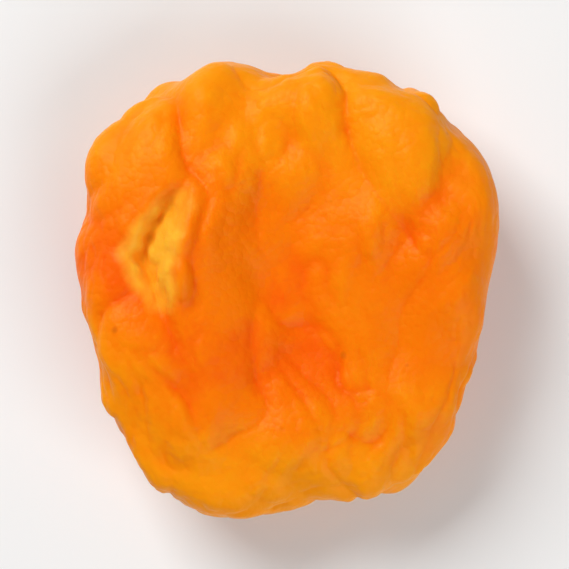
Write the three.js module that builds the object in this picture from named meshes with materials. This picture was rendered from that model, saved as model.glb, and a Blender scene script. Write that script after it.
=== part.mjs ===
// A whole apricot, pitted through a slit and dried flat in the sun: one plump, wrinkled piece of fruit.
// Millimetres, +Z up. The fruit lies on its belly with the slit on top, towards -X.
// The stem end points to +Y and the tip to -Y. The origin is in the flat spot that the fruit rests on.
import * as THREE from "three";
import { mergeVertices } from "three/addons/utils/BufferGeometryUtils.js";
import { ImprovedNoise } from "three/addons/math/ImprovedNoise.js";

// Driving dimensions
const WIDTH = 33;
const LENGTH = 36.5;
const THICKNESS = 12;
const SLIT_LENGTH = 10;
const SURFACE_DETAIL = 20;

// Smooth form: a fat disc with a blunt rim, its edges lifted a little as it dried
const RIM_BLUNTNESS = 0.7;
const OUTLINE_LOBES = [
  { count: 2, height: 0.012, turn: 0.9 },
  { count: 3, height: 0.02, turn: 0.35 },
  { count: 4, height: 0.05, turn: 0.75 },
  { count: 5, height: 0.014, turn: 0.4 },
  { count: 7, height: 0.01, turn: 2.6 },
];
const RIM_LIFT = { across: 1.4, along: 0.9, twist: 1.1 };

// Hollow over the place of the stone, on top
const HOLLOW = { x: 2.4, y: -0.8, halfWidth: 5.6, halfLength: 9.5, depth: 3.2 };

// Seam from stem end to tip, and the slit in it: a lens of bared flesh with a crevice between uneven lips
const SLIT = { x: -9, y: 2.4, halfWidth: 1.5, depth: 0.8, edgeSoftness: 0.4 };
const SLIT_BOW = { depth: 1.5, halfLength: 4.4 };
const SLIT_SURROUND = { halfWidth: 4, halfLength: 6.5, closerPoints: 0.55, calmerFolds: 0.85 };
const CREVICE = { offset: -0.3, depth: 1.1, width: 0.45 };
const OUTER_LIP = { side: -1, height: 0.55, width: 0.7, setBack: 0.4, row: 2 };
const INNER_LIP = { side: 1, height: 1, width: 1.3, setBack: 0.9, row: 6 };
const LIP_RUN = { halfLength: 5, wave: 2.6, waveShare: 0.9 };
const SEAM = { depth: 0.7, width: 0.9, wobble: 0.5, wobbleLength: 3.2 };

// Dimple at the stem end and point at the tip
const STEM_DIMPLE = { depth: 1.3, radius: 3.2 };
const TIP_POINT = { height: 0.7, radius: 2.4 };

// Drying folds: rounded swells with sharp creases between them, drawn out from stem end to tip
const FOLDS = [
  { across: 8.5, along: 14, height: 2.5, row: 3.7 },
  { across: 4.2, along: 6.5, height: 1, row: 8.2 },
];
const FOLD_WANDER = { size: 11, reach: 4.5, rows: [3, 17, 31] };
const RIM_PLEATS = { around: 2.6, through: 1.1, height: 0.9, edgePower: 8 };
const MEAN_SWELL = 0.22;

// Belly, smooth in the middle and pressed flat where it lies
const BELLY_SMOOTH_RADIUS = 9.5;
const REST_PRESS = 0.3;

const HALF_WIDTH = WIDTH / 2;
const HALF_LENGTH = LENGTH / 2;
const HALF_THICKNESS = THICKNESS / 2;
const HALF_SLIT = SLIT_LENGTH / 2;

const noise = new ImprovedNoise();
const bell = (distance, width) => Math.exp(-((distance / width) ** 2));
const swell = (x, y, z) => Math.abs(noise.noise(x, y, z)) - MEAN_SWELL;

function outlineScale(angle) {
  return OUTLINE_LOBES.reduce(
    (scale, lobe) => scale + lobe.height * Math.cos(lobe.count * (angle - lobe.turn)),
    1,
  );
}

// Where the seam lies across the fruit: it wobbles, bows out at the slit and closes in at both ends
function seamX(y) {
  const toEnd = 1 - (y / HALF_LENGTH) ** 2;
  const wobble = SEAM.wobble * noise.noise(y / SEAM.wobbleLength, 0.5, 0.5);
  return toEnd * (SLIT.x + wobble) - SLIT_BOW.depth * bell(y - SLIT.y, SLIT_BOW.halfLength);
}

// One at the slit, falling to nought around it
function nearSlit(point) {
  const across = bell(point.x - seamX(point.y), SLIT_SURROUND.halfWidth);
  return across * bell(point.y - SLIT.y, SLIT_SURROUND.halfLength);
}

// Point of the smooth form for a direction out of a unit sphere, with closer points at the slit
function smoothForm(direction) {
  const scale = outlineScale(Math.atan2(direction.y, direction.x));
  const point = new THREE.Vector3(
    direction.x * HALF_WIDTH * scale,
    direction.y * HALF_LENGTH * scale,
    Math.sign(direction.z) * Math.abs(direction.z) ** RIM_BLUNTNESS * HALF_THICKNESS,
  );
  if (direction.z > 0) {
    const offSeam = point.x - seamX(point.y);
    point.x -= SLIT_SURROUND.closerPoints * offSeam * nearSlit(point) * direction.z;
  }
  return point;
}

function foldHeight(point) {
  const { size, reach, rows } = FOLD_WANDER;
  const wander = rows.map((row) => reach * noise.noise(point.x / size + row, point.y / size, point.z / size));
  const place = new THREE.Vector3(...wander).add(point);
  return FOLDS.reduce((height, fold) => {
    const { across, along, row } = fold;
    return height + fold.height * swell(place.x / across, place.y / along, place.z / across + row);
  }, 0);
}

function rimPleatHeight(direction) {
  const { around, through, height, edgePower } = RIM_PLEATS;
  const spread = Math.hypot(direction.x, direction.y);
  const angle = Math.atan2(direction.y, direction.x);
  const pleat = swell(around * Math.cos(angle), around * Math.sin(angle), through * direction.z);
  return height * spread ** edgePower * pleat;
}

function endHeight(point) {
  const fromStem = Math.hypot(point.x, point.y - HALF_LENGTH, point.z);
  const fromTip = Math.hypot(point.x, point.y + HALF_LENGTH, point.z);
  const dimple = STEM_DIMPLE.depth * bell(fromStem, STEM_DIMPLE.radius);
  return TIP_POINT.height * bell(fromTip, TIP_POINT.radius) - dimple;
}

// A lip runs beside the slit, and swells and sinks along it
function lipHeight(lip, offSeam, gap, y) {
  const fromLip = lip.side * offSeam - gap - lip.setBack;
  const wave = 1 + LIP_RUN.waveShare * noise.noise(y / LIP_RUN.wave, lip.row + 0.5, 0.5);
  return lip.height * wave * bell(fromLip, lip.width) * bell(y - SLIT.y, LIP_RUN.halfLength);
}

// The slit lies in the seam and runs out into it at both ends, and the seam fades towards the rim
function seamHeight(point) {
  const offSeam = point.x - seamX(point.y);
  const open = Math.max(0, 1 - ((point.y - SLIT.y) / HALF_SLIT) ** 2);
  const gap = SLIT.halfWidth * open;
  const slit = SLIT.depth * open * bell(offSeam, gap + SLIT.edgeSoftness);
  const crevice = CREVICE.depth * Math.sqrt(open) * bell(offSeam - CREVICE.offset * open, CREVICE.width);
  const seam = SEAM.depth * bell(offSeam, SEAM.width) * (1 - open) * (1 - (point.y / HALF_LENGTH) ** 2);
  const lips = [OUTER_LIP, INNER_LIP].map((lip) => lipHeight(lip, offSeam, gap, point.y));
  return lips[0] + lips[1] - slit - crevice - seam;
}

function hollowHeight(point) {
  const across = bell(point.x - HOLLOW.x, HOLLOW.halfWidth);
  return -HOLLOW.depth * across * bell(point.y - HOLLOW.y, HOLLOW.halfLength);
}

function rimLift(point) {
  const across = point.x / HALF_WIDTH;
  const along = point.y / HALF_LENGTH;
  return RIM_LIFT.across * across ** 2 + RIM_LIFT.along * along ** 2 + RIM_LIFT.twist * across * along;
}

// How far the folds are smoothed away: at the lips on top, and in the middle of the belly
function calm(point, onTop) {
  if (onTop) {
    return SLIT_SURROUND.calmerFolds * nearSlit(point);
  }
  return bell(Math.hypot(point.x, point.y), BELLY_SMOOTH_RADIUS);
}

// Point of the dried skin for a direction out of a unit sphere
function driedForm(direction) {
  const point = smoothForm(direction);
  const outward = new THREE.Vector3(
    direction.x / HALF_WIDTH,
    direction.y / HALF_LENGTH,
    direction.z / HALF_THICKNESS,
  ).normalize();
  const onTop = direction.z > 0;
  const folds = (1 - calm(point, onTop)) * (foldHeight(point) + rimPleatHeight(direction));
  const dried = point.clone().addScaledVector(outward, folds + endHeight(point));
  dried.z += rimLift(point);
  if (onTop) {
    dried.z += seamHeight(point) + hollowHeight(point);
  }
  return dried;
}

function driedApricotGeometry() {
  const ball = new THREE.IcosahedronGeometry(1, SURFACE_DETAIL);
  ball.deleteAttribute("normal");
  ball.deleteAttribute("uv");
  const geometry = mergeVertices(ball);
  const position = geometry.getAttribute("position");
  const points = Array.from({ length: position.count }, (_, index) =>
    driedForm(new THREE.Vector3().fromBufferAttribute(position, index).normalize()),
  );
  const restLevel = Math.min(...points.map((point) => point.z)) + REST_PRESS;
  points.forEach((point, index) => {
    position.setXYZ(index, point.x, point.y, Math.max(0, point.z - restLevel));
  });
  geometry.computeVertexNormals();
  return geometry;
}

const driedFlesh = new THREE.MeshStandardMaterial({ color: 0xf08c14, roughness: 0.45, metalness: 0 });

const driedApricot = new THREE.Mesh(driedApricotGeometry(), driedFlesh);
driedApricot.name = "dried_apricot";

const fruit = new THREE.Group();
fruit.add(driedApricot);

export default fruit;
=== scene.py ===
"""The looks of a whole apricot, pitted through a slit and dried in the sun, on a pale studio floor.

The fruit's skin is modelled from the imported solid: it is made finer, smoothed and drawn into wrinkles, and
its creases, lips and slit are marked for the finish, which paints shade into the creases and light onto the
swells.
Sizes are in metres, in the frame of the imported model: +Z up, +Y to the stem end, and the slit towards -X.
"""

import math

import bmesh
import bpy
from bpy.props import FloatProperty, FloatVectorProperty, IntProperty, PointerProperty
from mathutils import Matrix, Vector, noise


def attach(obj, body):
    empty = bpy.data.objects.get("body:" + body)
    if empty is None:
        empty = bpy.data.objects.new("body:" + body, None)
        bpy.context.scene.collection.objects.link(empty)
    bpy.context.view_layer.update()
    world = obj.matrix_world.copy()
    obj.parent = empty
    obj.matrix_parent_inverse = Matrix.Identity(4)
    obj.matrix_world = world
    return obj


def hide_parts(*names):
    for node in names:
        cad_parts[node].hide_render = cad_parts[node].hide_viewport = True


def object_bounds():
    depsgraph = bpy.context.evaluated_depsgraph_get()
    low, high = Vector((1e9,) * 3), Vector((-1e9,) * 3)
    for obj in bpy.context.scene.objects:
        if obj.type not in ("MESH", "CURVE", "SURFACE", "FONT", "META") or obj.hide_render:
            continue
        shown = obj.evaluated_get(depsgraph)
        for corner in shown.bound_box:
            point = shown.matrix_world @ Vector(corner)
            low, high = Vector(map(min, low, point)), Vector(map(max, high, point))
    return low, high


bl_info = {
    "name": "Dried apricot",
    "version": (1, 0, 0),
    "blender": (4, 5, 0),
    "location": "3D View > Sidebar > Dried apricot",
    "description": "Models the wrinkled skin and translucent flesh of a dried apricot",
    "category": "Object",
}

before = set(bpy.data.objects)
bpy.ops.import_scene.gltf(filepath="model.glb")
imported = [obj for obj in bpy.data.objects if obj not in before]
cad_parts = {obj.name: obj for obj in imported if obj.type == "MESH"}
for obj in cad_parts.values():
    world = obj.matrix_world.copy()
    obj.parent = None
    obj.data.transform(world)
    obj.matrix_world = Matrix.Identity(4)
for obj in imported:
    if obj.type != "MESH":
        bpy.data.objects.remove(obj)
CAD_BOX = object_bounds()

NODE = "dried_apricot"
BODY = "root"
PIECE = "apricot_skin"

# Smoothing: points nearer than the first are one, and points below the second are in the flat spot
MERGE_DISTANCE = 1e-7
REST_LEVEL = 1e-5
RELAX_SHARE = 0.5
ROUNDING_TIMES = 3
SETTLING_TIMES = 1
LEVELLING_TIMES = 40

# Wrinkles: the level that swells rise and sink about, and a row of the noise for each kind
MEAN_SWELL = 0.4
ROW_DEPTH = 0.5
STRAY_ROWS = (1, 4, 7)
PATCH_ROW = 10
PAD_ROW = 5
WRINKLE_ROW = 3
CRINKLE_ROW = 8

# How wrinkled a patch of skin is: all over, by chance, at the rim and at the tip
PATCH_EVEN = 0.4
PATCH_CHANCE = 1.2
PATCH_RIM = 0.3
PATCH_TIP = 0.5
LEAST_CRINKLE = 0.5

# Where the flesh is redder: in the hollow towards the tip, and on the flank outside the slit
FLUSHED_PLACES = ((-0.0022, -0.0062), (-0.0146, 0.0022))

# The relief that the finish reads, for painted light on swells and painted shade in creases, is in
# millimetres
MILLIMETRES = 1000

# Sizes of the patterns in the finish
RIPE_SIZE = 0.012
FLUSHED_SIZE = 0.009
MOTTLE_SIZE = 0.0035
GRAIN_SIZE = 0.0007
PEBBLE_SIZE = 0.0005
FRECKLE_SPACING = 0.0045
CLOUD_DETAIL = 3
CLOUD_ROUGHNESS = 0.55
CLOUD_MEAN = 0.5

# How far each mark turns the flesh to amber or to red, and between which sums it turns
MOTTLE_TURN = 0.3
GRAIN_TURN = 0.2
# The rim and both ends turn amber as a painted glow of light through the thin flesh
RIM_TURN = 0.1
ENDS_TURN = 0.5
FLUSH_TURN = 0.25
# Painted light and shade: swells are painted amber and creases red
SWELL_TO_AMBER = 0.3
CREASE_TO_RED = 0.6
AMBER_STEP = (0.5, 0.95)
BLUSH_STEP = (0.35, 0.75)

# How fully each colour covers those before it
AMBER_COVER = 0.9
BLUSH_COVER = 0.8
BARED_COVER = 0.85
GAP_COVER = 0.85
FRECKLE_COVER = 0.45
SCAR_COVER = 0.8

# Freckles: their reach in shares of their spacing, and how ragged they are
FRECKLE_STEP = (0, 0.08)
FRECKLE_RAGGEDNESS = 0.25

# How roughness varies over the skin, and how much rougher the gap is
MOTTLE_ROUGHNESS = 0.2
GRAIN_ROUGHNESS = 0.12
GAP_ROUGHNESS = 0.4

# Grain and pebbles of the skin, too fine to model
BUMP_STRENGTH = 0.5
BUMP_DEPTH = 0.00012
GRAIN_BUMP = 0.7
PEBBLE_BUMP = 0.8

# How far red, green and blue light go into the flesh, in shares of the light depth
LIGHT_REACH = (1, 0.35, 0.08)
FLESH_IOR = 1.42

# Stage
FLOOR_ROUGHNESS = 0.6
FLOOR_MOTTLE = 0.1
FLOOR_MOTTLE_SIZE = 0.05
KEY_PLACE = (-0.16, 0.2, 0.24)
KEY_SIDE = 0.2
FILL_PLACE = (0.17, -0.2, 0.2)
FILL_SIDE = 0.26
WHITE = (1, 1, 1, 1)

# Sockets of a Mix node that mixes colours
MIX_FACTOR = 0
MIX_FIRST = 6
MIX_SECOND = 7
MIX_RESULT = 2


def length(name, description, default):
    """A size in metres that the sidebar can change."""
    return FloatProperty(
        name=name, description=description, default=default, unit="LENGTH", precision=5
    )


def share(name, description, default):
    """A share from nought to one that the sidebar can change."""
    return FloatProperty(
        name=name, description=description, default=default, min=0, max=1, subtype="FACTOR"
    )


def colour(name, description, default):
    """A colour that the sidebar can change."""
    return FloatVectorProperty(
        name=name, description=description, default=(*default, 1), size=4, min=0, max=1, subtype="COLOR"
    )


def power(name, description, default):
    """A light's power in watts that the sidebar can change."""
    return FloatProperty(name=name, description=description, default=default, min=0, unit="POWER")


class ApricotSkin(bpy.types.PropertyGroup):
    """Sizes of the skin's wrinkles and the places of the slit and the stem scar"""

    finer_steps: IntProperty(
        name="Finer steps",
        description="How often the solid's triangles are each cut into four",
        default=2,
        min=0,
        max=2,
    )
    pattern: IntProperty(
        name="Pattern",
        description="Which of many patterns of wrinkles the skin has",
        default=90,
        min=0,
    )
    crispness: share("Crispness", "How sharp the creases are: less is sharper", 0.55)
    pad_across: length("Pad width", "Distance across the smooth pads between creases", 0.0062)
    pad_along: length("Pad length", "Distance along the smooth pads between creases", 0.012)
    pad_height: length("Pad height", "How far the pads stand over their creases", 0.0011)
    wrinkle_across: length("Wrinkle width", "Distance across a drying wrinkle", 0.0022)
    wrinkle_along: length("Wrinkle length", "Distance along a drying wrinkle", 0.0046)
    wrinkle_height: length("Wrinkle height", "How far a drying wrinkle stands out", 0.00042)
    crinkle_across: length("Crinkle width", "Distance across a fine crinkle of the skin", 0.0008)
    crinkle_along: length("Crinkle length", "Distance along a fine crinkle of the skin", 0.0013)
    crinkle_height: length("Crinkle height", "How far a fine crinkle stands out", 0.00014)
    flesh_size: length("Flesh lump size", "Distance across the lumps of the bared flesh", 0.0011)
    flesh_height: length("Flesh lump height", "How far the lumps of the bared flesh stand out", 0.00035)
    wander: length("Wander", "How far wrinkles stray from straight", 0.0026)
    wander_size: length("Wander size", "Distance over which wrinkles stray", 0.007)
    patch_size: length("Patch size", "Distance between smooth and wrinkled patches", 0.007)
    rest_fade: length("Rest fade", "Height over which wrinkles fade in above the floor", 0.0018)
    top_from: length("Top side from", "Height above which the skin is on the top side", 0.005)
    slit_x: length("Slit place across", "Where the seam lies at the slit, before it bows", -0.009)
    slit_y: length("Slit place along", "Middle of the slit along the fruit", 0.0024)
    slit_half_length: length("Slit half length", "Half the length of the slit", 0.005)
    slit_half_width: length("Slit half width", "Half the width of the bared flesh", 0.0015)
    slit_bow: length("Slit bow", "How far the slit bows out", 0.0015)
    bow_half_length: length("Bow half length", "Reach of the bow along the fruit", 0.0044)
    seam_half_length: length("Seam half length", "Half the length of the seam", 0.01825)
    stem_y: length("Stem scar place along", "Where the stem scar lies along the fruit", 0.0167)
    stem_z: length("Stem scar height", "Height of the stem scar above the floor", 0.0062)
    stem_radius: length("Stem scar radius", "Reach of the stem scar", 0.0011)
    stem_depth: length("Stem scar depth", "Depth of the stem scar", 0.0005)
    lip_width: length("Lip width", "How far the bared flesh spreads over the lips", 0.0012)
    tear: length("Tear", "How far the edge of the bared flesh strays", 0.0007)
    tear_size: length("Tear size", "Distance between the tears of that edge", 0.0015)
    flush_radius: length("Flush radius", "Reach of each redder place", 0.004)
    gap_depth: length("Gap depth", "Depth below its surroundings of the slit's gap", 0.0002)


class ApricotFinish(bpy.types.PropertyGroup):
    """Colours and gloss of the dried flesh; the amber and the blush also carry painted light and painted
    shade
    """

    body: colour("Orange", "Main colour of the dried flesh", (0.95, 0.2, 0.001))
    # Amber also carries painted light on the swells and a painted glow at the rim and both ends
    amber: colour("Amber", "Yellower patches, the tops of folds, both ends and the rim", (0.96, 0.32, 0.003))
    # Blush also carries painted shade at the bottoms of creases, besides the real redder patches
    blush_and_crease_shade: colour("Blush", "Redder patches and the bottoms of creases", (0.9, 0.1, 0.001))
    lip: colour("Lip", "Yellow flesh bared at the slit", (0.97, 0.5, 0.035))
    deep: colour("Deep", "Flesh in the gap of the slit", (0.96, 0.34, 0.007))
    freckle: colour("Freckle", "Small brown spots and the stem scar", (0.42, 0.075, 0.003))
    glint: colour("Glint", "Tint of the light that the skin mirrors", (1, 0.8, 0.35))
    roughness: share("Roughness", "How matt the skin is", 0.4)
    sheen: share("Sheen", "How strongly the skin mirrors light", 0.22)
    subsurface: share("Translucency", "How much light goes through the flesh", 0.55)
    depth: length("Light depth", "How far light goes into the flesh", 0.0022)


class ApricotStage(bpy.types.PropertyGroup):
    """Floor, lights and camera"""

    floor: colour("Floor", "Colour of the floor", (0.86, 0.86, 0.855))
    floor_size: length("Floor size", "Side of the floor", 1.2)
    lens: FloatProperty(name="Lens", description="Focal length", default=200, unit="CAMERA")
    fill: share("Fill", "How much of the picture's side the fruit's length takes", 0.8)
    key_power: power("Key light", "Power of the main light", 1.12)
    fill_power: power("Fill light", "Power of the second light", 0.65)
    sky: FloatProperty(name="Sky", description="Brightness of the even light all round", default=0.17, min=0)


class ApricotSettings(bpy.types.PropertyGroup):
    """All that the sidebar shows"""

    skin: PointerProperty(type=ApricotSkin)
    finish: PointerProperty(type=ApricotFinish)
    stage: PointerProperty(type=ApricotStage)


class Wire:
    """An output socket of a shader. Python's operators add Math nodes to it."""

    def __init__(self, recipe, socket):
        self.recipe = recipe
        self.socket = socket

    def _math(self, operation, *values):
        return self.recipe.add("ShaderNodeMath", {"operation": operation}, dict(enumerate(values)))

    def __add__(self, other):
        return self._math("ADD", self, other)

    def __radd__(self, other):
        return self._math("ADD", other, self)

    def __sub__(self, other):
        return self._math("SUBTRACT", self, other)

    def __rsub__(self, other):
        return self._math("SUBTRACT", other, self)

    def __mul__(self, other):
        return self._math("MULTIPLY", self, other)

    def __rmul__(self, other):
        return self._math("MULTIPLY", other, self)


class Recipe:
    """The nodes of one material."""

    def __init__(self, name):
        self.material = bpy.data.materials.new(name)
        self.material.use_nodes = True
        self.tree = self.material.node_tree
        self.tree.nodes.clear()

    def add(self, kind, settings=None, inputs=None, output=0):
        """Adds a node: its settings first, then the values or wires of its sockets. Gives one output."""
        node = self.tree.nodes.new(kind)
        for name, value in (settings or {}).items():
            setattr(node, name, value)
        for name, value in (inputs or {}).items():
            if isinstance(value, Wire):
                self.tree.links.new(value.socket, node.inputs[name])
            else:
                node.inputs[name].default_value = value
        return Wire(self, node.outputs[output])

    def mix(self, factor, first, second):
        """The second colour over the first, by a factor."""
        return self.add(
            "ShaderNodeMix",
            {"data_type": "RGBA", "clamp_factor": True},
            {MIX_FACTOR: factor, MIX_FIRST: first, MIX_SECOND: second},
            MIX_RESULT,
        )

    def step(self, value, low, high):
        """Nought below low, one above high, smooth between."""
        return self.add(
            "ShaderNodeMapRange",
            {"interpolation_type": "SMOOTHSTEP"},
            {"Value": value, "From Min": low, "From Max": high},
        )

    def cloud(self, place, size, row):
        """Soft noise with patches of a size in metres. Each row is a cloud of its own."""
        return self.add(
            "ShaderNodeTexNoise",
            {"noise_dimensions": "4D"},
            {
                "Vector": place,
                "W": row,
                "Scale": 1 / size,
                "Detail": CLOUD_DETAIL,
                "Roughness": CLOUD_ROUGHNESS,
            },
        )

    def cells(self, place, size):
        """Distance from the middles of cells of a size in metres."""
        return self.add("ShaderNodeTexVoronoi", inputs={"Vector": place, "Scale": 1 / size})

    def place(self):
        """A place on the piece, which stays with it as it moves."""
        return self.add("ShaderNodeTexCoord", output="Object")

    def attribute(self, name):
        """A value stored on the piece's vertices."""
        return self.add("ShaderNodeAttribute", {"attribute_name": name}, output="Fac")

    def surface(self, inputs):
        """The material's own surface."""
        shader = self.add("ShaderNodeBsdfPrincipled", inputs=inputs)
        end = self.tree.nodes.new("ShaderNodeOutputMaterial")
        self.tree.links.new(shader.socket, end.inputs["Surface"])
        return self.material


def bell(distance, width):
    """One at no distance, falling to nought around a width."""
    return math.exp(-((distance / width) ** 2))


def clamp(value):
    """A value held between nought and one."""
    return min(1, max(0, value))


def seam_x(skin, y):
    """Where the seam lies across the fruit at a place along it."""
    to_end = 1 - (y / skin.seam_half_length) ** 2
    return skin.slit_x * to_end - skin.slit_bow * bell(y - skin.slit_y, skin.bow_half_length)


def bared_share(skin, point):
    """How much the flesh is bared at a point: the lens of the slit and its lips, with a torn edge."""
    if point.z < skin.top_from:
        return 0
    opened = max(0, 1 - ((point.y - skin.slit_y) / skin.slit_half_length) ** 2)
    torn = skin.tear * noise.noise(point / skin.tear_size)
    across = abs(point.x - seam_x(skin, point.y) + torn)
    edge = (skin.slit_half_width * opened + skin.lip_width - across) / skin.lip_width
    return math.sqrt(opened) * clamp(edge)


def rim_share(normal):
    """Nought where the skin lies level, one where it stands upright at the rim."""
    return math.hypot(normal.x, normal.y)


def tip_share(skin, point):
    """Nought up to halfway to the tip, one at the tip."""
    return clamp(-2 * point.y / skin.seam_half_length - 1)


def scar_share(skin, point):
    """One at the stem scar, falling to nought around it."""
    return bell((point - Vector((0, skin.stem_y, skin.stem_z))).length, skin.stem_radius)


def flush_share(skin, point):
    """One in the middle of a redder place, falling to nought around it."""
    return max(bell(math.hypot(point.x - x, point.y - y), skin.flush_radius) for x, y in FLUSHED_PLACES)


def chance(skin, point, size, row):
    """Soft noise with patches of a size in metres, for the skin's pattern and a row of its own."""
    return noise.noise(point / size + Vector((skin.pattern, row, ROW_DEPTH)))


def swell(skin, point, across, along, row):
    """Rounded swells with sharp creases between them, drawn out along the fruit."""
    flow = noise.noise(Vector((point.x / across, point.y / along, point.z / across + row)))
    return abs(flow) ** skin.crispness - MEAN_SWELL


def patch_share(skin, point, rim):
    """Nought where the skin is smooth, one where it is wrinkled, and more so at the rim and the tip."""
    by_chance = PATCH_CHANCE * chance(skin, point, skin.patch_size, PATCH_ROW)
    return clamp(PATCH_EVEN + by_chance + PATCH_RIM * rim + PATCH_TIP * tip_share(skin, point))


def skin_height(skin, point, rim):
    """How far the wrinkled skin stands out at a point of the smooth form."""
    stray = [chance(skin, point, skin.wander_size, row) for row in STRAY_ROWS]
    place = point + skin.wander * Vector(stray)
    patch = patch_share(skin, point, rim)
    pad = skin.pad_height * swell(skin, place, skin.pad_across, skin.pad_along, PAD_ROW)
    wrinkle = skin.wrinkle_height * swell(skin, place, skin.wrinkle_across, skin.wrinkle_along, WRINKLE_ROW)
    crinkle = skin.crinkle_height * swell(skin, place, skin.crinkle_across, skin.crinkle_along, CRINKLE_ROW)
    crinkled = LEAST_CRINKLE + (1 - LEAST_CRINKLE) * patch
    scar = skin.stem_depth * scar_share(skin, point)
    return pad + patch * wrinkle + crinkled * crinkle - scar


def flesh_height(skin, point):
    """How far the lumpy bared flesh stands out at a point."""
    return skin.flesh_height * noise.noise(point / skin.flesh_size)


def relax(form, times):
    """Evens out the surface, away from the flat spot that it rests on."""
    free = [vert for vert in form.verts if vert.co.z > REST_LEVEL]
    for _ in range(times):
        bmesh.ops.smooth_vert(
            form, verts=free, factor=RELAX_SHARE, use_axis_x=True, use_axis_y=True, use_axis_z=True
        )


def finer(form, steps):
    """Cuts each triangle into four, and rounds the facets."""
    for _ in range(steps):
        bmesh.ops.subdivide_edges(form, edges=form.edges[:], cuts=1, use_grid_fill=True)
        relax(form, ROUNDING_TIMES)


def wrinkled(form, skin):
    """Draws the skin into wrinkles and the bared flesh into lumps, and neither where the fruit rests."""
    form.normal_update()
    moves = []
    for vert in form.verts:
        bared = bared_share(skin, vert.co)
        above_rest = clamp(vert.co.z / skin.rest_fade)
        height = skin_height(skin, vert.co, rim_share(vert.normal))
        height += bared * (flesh_height(skin, vert.co) - height)
        moves.append(vert.normal * (height * above_rest))
    for vert, move in zip(form.verts, moves):
        vert.co += move
        vert.co.z = max(0, vert.co.z)
    relax(form, SETTLING_TIMES)


def marked(form, skin):
    """Marks what the finish shows on the vertices.

    These are creases and swells, the rim, both ends, the redder places, the stem scar, the bared flesh and
    the slit's gap. The finish paints shade into the creases and light onto the swells, the rim and both ends.
    """
    smooth = form.copy()
    relax(smooth, LEVELLING_TIMES)
    smooth.normal_update()
    names = ("relief", "rim", "ends", "flush", "scar", "bared", "gap")
    relief, rim, ends, flush, scar, bared, gap = (form.verts.layers.float.new(name) for name in names)
    for vert, calm in zip(form.verts, smooth.verts):
        height = (vert.co - calm.co).dot(calm.normal)
        vert[relief] = height * MILLIMETRES
        vert[rim] = rim_share(calm.normal)
        vert[ends] = (vert.co.y / skin.seam_half_length) ** 2
        vert[flush] = flush_share(skin, vert.co)
        vert[scar] = scar_share(skin, vert.co)
        vert[bared] = bared_share(skin, vert.co)
        vert[gap] = vert[bared] * clamp(-height / skin.gap_depth)
    smooth.free()


def dried_flesh(finish):
    """Translucent orange flesh under a satin skin, mottled amber and red, with yellow lips at the slit.
    Swells carry painted light and creases painted shade, and the rim and both ends a painted glow of light
    through thin flesh.
    """
    recipe = Recipe("dried_flesh")
    place = recipe.place()
    relief = recipe.attribute("relief")
    bared = recipe.attribute("bared")
    gap = recipe.attribute("gap")
    ripe = recipe.cloud(place, RIPE_SIZE, row=1)
    flushed = recipe.cloud(place, FLUSHED_SIZE, row=2)
    mottle = recipe.cloud(place, MOTTLE_SIZE, row=3) - CLOUD_MEAN
    grain = recipe.cloud(place, GRAIN_SIZE, row=4)
    grain_turn = grain - CLOUD_MEAN
    pebble = recipe.cells(place, PEBBLE_SIZE)

    # Painted glow: the rim and both ends are painted amber for light through thin flesh, less so at the
    # redder places
    painted_glow_less_flush = RIM_TURN * recipe.attribute("rim") + ENDS_TURN * recipe.attribute("ends")
    painted_glow_less_flush -= FLUSH_TURN * recipe.attribute("flush")
    uneven = MOTTLE_TURN * mottle + GRAIN_TURN * grain_turn
    # Random amber and red patches, with painted light on the swells and painted shade in the creases
    amber = recipe.step(ripe + painted_glow_less_flush + SWELL_TO_AMBER * relief + uneven, *AMBER_STEP)
    blush_and_crease_shade = recipe.step(flushed - painted_glow_less_flush - CREASE_TO_RED * relief + uneven, *BLUSH_STEP)
    tint = recipe.mix(AMBER_COVER * amber, finish.body, finish.amber)
    tint = recipe.mix(BLUSH_COVER * blush_and_crease_shade, tint, finish.blush_and_crease_shade)
    tint = recipe.mix(BARED_COVER * bared, tint, finish.lip)
    tint = recipe.mix(GAP_COVER * gap, tint, finish.deep)

    spots = recipe.cells(place, FRECKLE_SPACING)
    freckle = 1 - recipe.step(spots + FRECKLE_RAGGEDNESS * mottle, *FRECKLE_STEP)
    brown = FRECKLE_COVER * freckle * (1 - bared) + SCAR_COVER * recipe.attribute("scar")
    tint = recipe.mix(brown, tint, finish.freckle)

    skin_roughness = finish.roughness + MOTTLE_ROUGHNESS * mottle + GRAIN_ROUGHNESS * grain_turn
    bump = recipe.add(
        "ShaderNodeBump",
        inputs={
            "Strength": BUMP_STRENGTH,
            "Distance": BUMP_DEPTH,
            "Height": GRAIN_BUMP * grain - PEBBLE_BUMP * pebble * pebble,
        },
    )
    return recipe.surface(
        {
            "Base Color": tint,
            "Roughness": skin_roughness + GAP_ROUGHNESS * gap,
            "Normal": bump,
            "Subsurface Weight": finish.subsurface,
            "Subsurface Radius": LIGHT_REACH,
            "Subsurface Scale": finish.depth,
            "Specular IOR Level": finish.sheen,
            "Specular Tint": finish.glint,
            "IOR": FLESH_IOR,
        }
    )


def floor_paint(stage):
    """Pale, even studio floor."""
    recipe = Recipe("pale_floor")
    mottle = recipe.cloud(recipe.place(), FLOOR_MOTTLE_SIZE, row=1)
    return recipe.surface({"Base Color": stage.floor, "Roughness": FLOOR_ROUGHNESS + FLOOR_MOTTLE * mottle})


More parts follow.
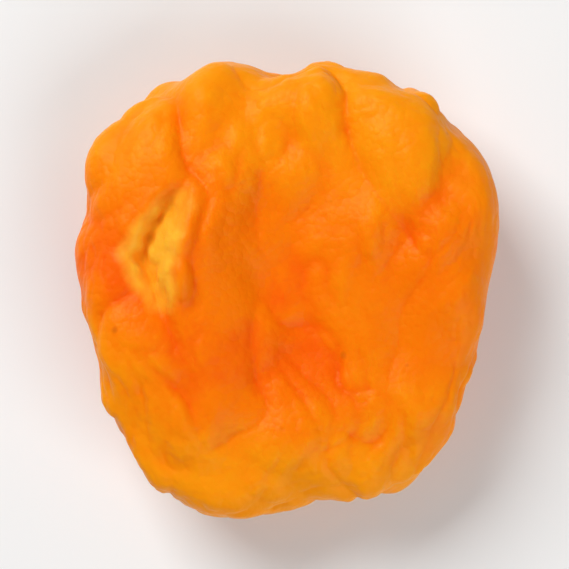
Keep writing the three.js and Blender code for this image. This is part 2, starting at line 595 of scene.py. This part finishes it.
class MakeDriedApricot(bpy.types.Operator):
    """Models the dried apricot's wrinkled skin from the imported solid"""

    bl_idname = "dried_apricot.make_fruit"
    bl_label = "Make dried apricot"

    def execute(self, context):
        settings = context.scene.dried_apricot
        form = bmesh.new()
        form.from_mesh(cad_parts[NODE].data)
        bmesh.ops.remove_doubles(form, verts=form.verts[:], dist=MERGE_DISTANCE)
        finer(form, settings.skin.finer_steps)
        wrinkled(form, settings.skin)
        marked(form, settings.skin)
        for face in form.faces:
            face.smooth = True
        mesh = bpy.data.meshes.new(PIECE)
        form.to_mesh(mesh)
        form.free()
        mesh.materials.append(dried_flesh(settings.finish))
        fruit = bpy.data.objects.new(PIECE, mesh)
        context.scene.collection.objects.link(fruit)
        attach(fruit, BODY)
        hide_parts(NODE)
        return {"FINISHED"}


def softbox(context, name, place, side, watts):
    """A square light that faces the fruit."""
    lamp = bpy.data.lights.new(name, "AREA")
    lamp.size = side
    lamp.energy = watts
    light = bpy.data.objects.new(name, lamp)
    light.location = place
    light.rotation_euler = (-Vector(place)).to_track_quat("-Z", "Y").to_euler()
    context.scene.collection.objects.link(light)


class SetApricotStage(bpy.types.Operator):
    """Lays the floor, hangs the lights and sets the camera straight above the fruit"""

    bl_idname = "dried_apricot.set_stage"
    bl_label = "Set stage"

    def execute(self, context):
        stage = context.scene.dried_apricot.stage
        self.lay_floor(context, stage)
        self.hang_lights(context, stage)
        self.set_camera(context, stage)
        return {"FINISHED"}

    def lay_floor(self, context, stage):
        form = bmesh.new()
        bmesh.ops.create_grid(form, x_segments=2, y_segments=2, size=stage.floor_size / 2)
        mesh = bpy.data.meshes.new("floor")
        form.to_mesh(mesh)
        form.free()
        mesh.materials.append(floor_paint(stage))
        floor = bpy.data.objects.new("floor", mesh)
        context.scene.collection.objects.link(floor)

    def hang_lights(self, context, stage):
        softbox(context, "key_light", KEY_PLACE, KEY_SIDE, stage.key_power)
        softbox(context, "fill_light", FILL_PLACE, FILL_SIDE, stage.fill_power)
        world = bpy.data.worlds.new("studio")
        world.use_nodes = True
        sky = world.node_tree.nodes["Background"]
        sky.inputs["Color"].default_value = WHITE
        sky.inputs["Strength"].default_value = stage.sky
        context.scene.world = world
        context.scene.view_settings.view_transform = "Standard"

    def set_camera(self, context, stage):
        low, high = CAD_BOX
        middle = (low + high) / 2
        lens = bpy.data.cameras.new("camera")
        lens.lens = stage.lens
        picture_side = (high.y - low.y) / stage.fill
        distance = picture_side * lens.lens / lens.sensor_width
        camera = bpy.data.objects.new("camera", lens)
        camera.location = (middle.x, middle.y, middle.z + distance)
        context.scene.collection.objects.link(camera)
        context.scene.camera = camera


class ApricotPanel(bpy.types.Panel):
    """Lists what makes the dried apricot"""

    bl_idname = "VIEW3D_PT_dried_apricot"
    bl_label = "Dried apricot"
    bl_space_type = "VIEW_3D"
    bl_region_type = "UI"
    bl_category = "Dried apricot"

    def draw(self, context):
        settings = context.scene.dried_apricot
        self.list_maker(MakeDriedApricot, settings.skin, settings.finish)
        self.list_maker(SetApricotStage, settings.stage)

    def list_maker(self, operator, *groups):
        box = self.layout.box()
        box.operator(operator.bl_idname)
        for group in groups:
            for name in group.__annotations__:
                box.prop(group, name)


CLASSES = (
    ApricotSkin,
    ApricotFinish,
    ApricotStage,
    ApricotSettings,
    MakeDriedApricot,
    SetApricotStage,
    ApricotPanel,
)


def register():
    for each in CLASSES:
        bpy.utils.register_class(each)
    bpy.types.Scene.dried_apricot = PointerProperty(type=ApricotSettings)


def unregister():
    del bpy.types.Scene.dried_apricot
    for each in reversed(CLASSES):
        bpy.utils.unregister_class(each)


def main():
    register()
    bpy.ops.dried_apricot.make_fruit()
    bpy.ops.dried_apricot.set_stage()


if __name__ == "__main__":
    main()
